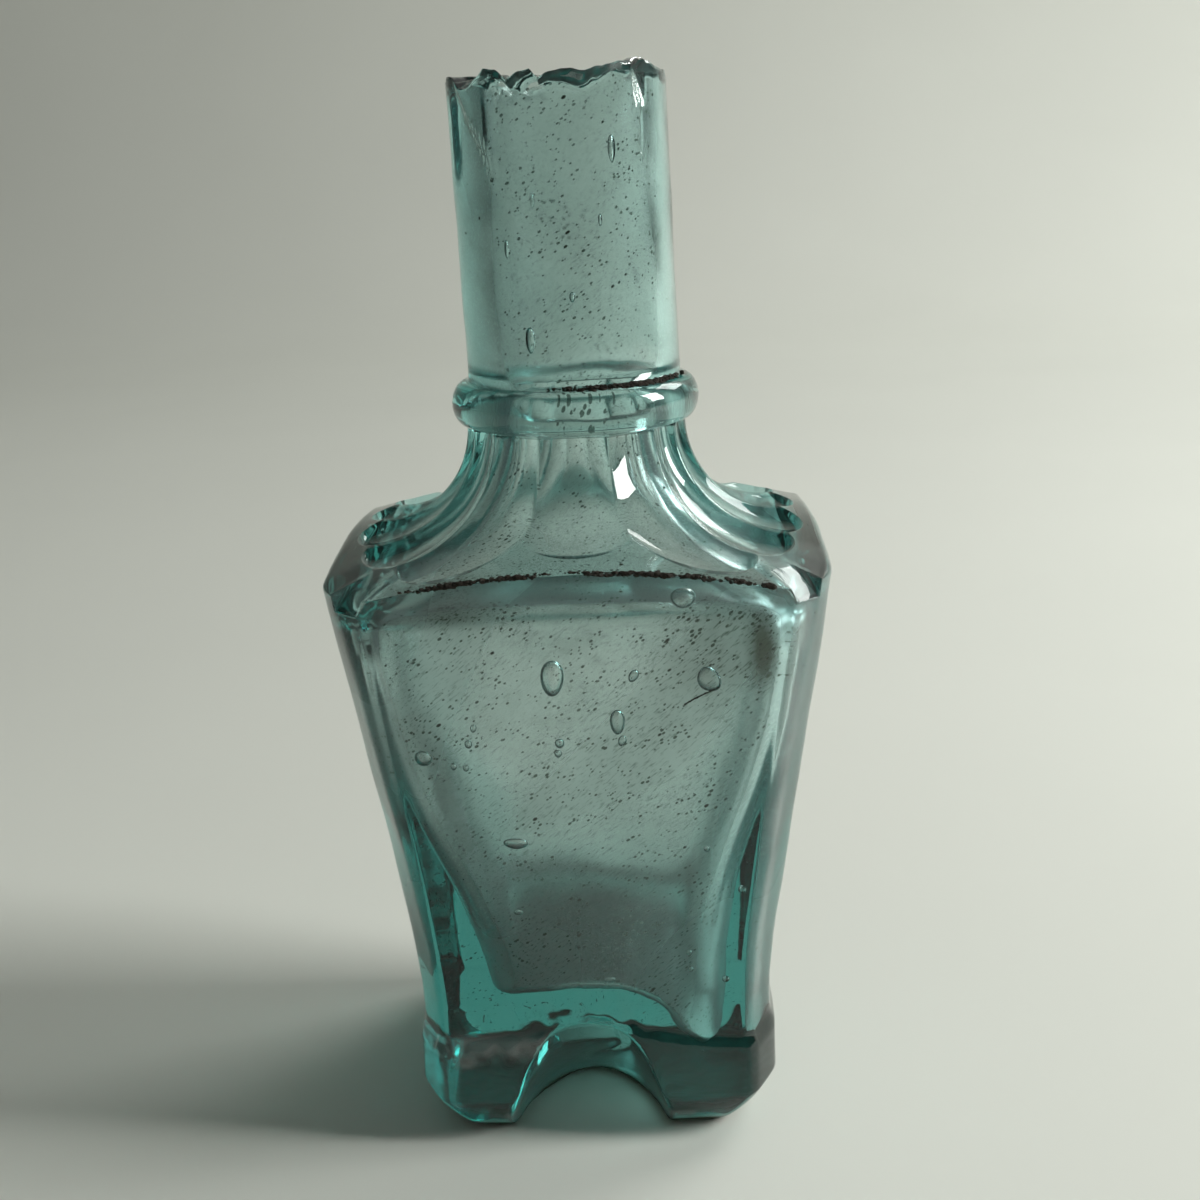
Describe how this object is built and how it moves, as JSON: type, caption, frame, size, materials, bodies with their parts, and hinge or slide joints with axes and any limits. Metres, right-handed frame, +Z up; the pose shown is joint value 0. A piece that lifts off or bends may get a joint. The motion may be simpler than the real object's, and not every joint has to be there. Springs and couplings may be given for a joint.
{
  "type": "glass bottle",
  "caption": "Small square mould-blown glass bottle with a fluted shoulder, ringed neck, burst jagged lip, tapered panels and a notched foot.",
  "frame": {"origin": "on the table, under the middle of the foot", "axes": "+Z up along the neck, -Y towards the face with the notch in its foot, +X to that face's right"},
  "size_m": [0.0502, 0.047, 0.1092],
  "materials": {
    "aqua_glass": "fire-polished, lightly weathered"
  },
  "bodies": {
    "root": {"burst_lip": "aqua_glass", "neck_tube": "aqua_glass", "neck_ring": "aqua_glass", "fluted_shoulder": "aqua_glass", "front_panel": "aqua_glass", "back_panel": "aqua_glass", "left_panel": "aqua_glass", "right_panel": "aqua_glass", "front_left_corner": "aqua_glass", "front_right_corner": "aqua_glass", "back_left_corner": "aqua_glass", "back_right_corner": "aqua_glass", "notched_foot": "aqua_glass"}
  },
  "joints": []
}
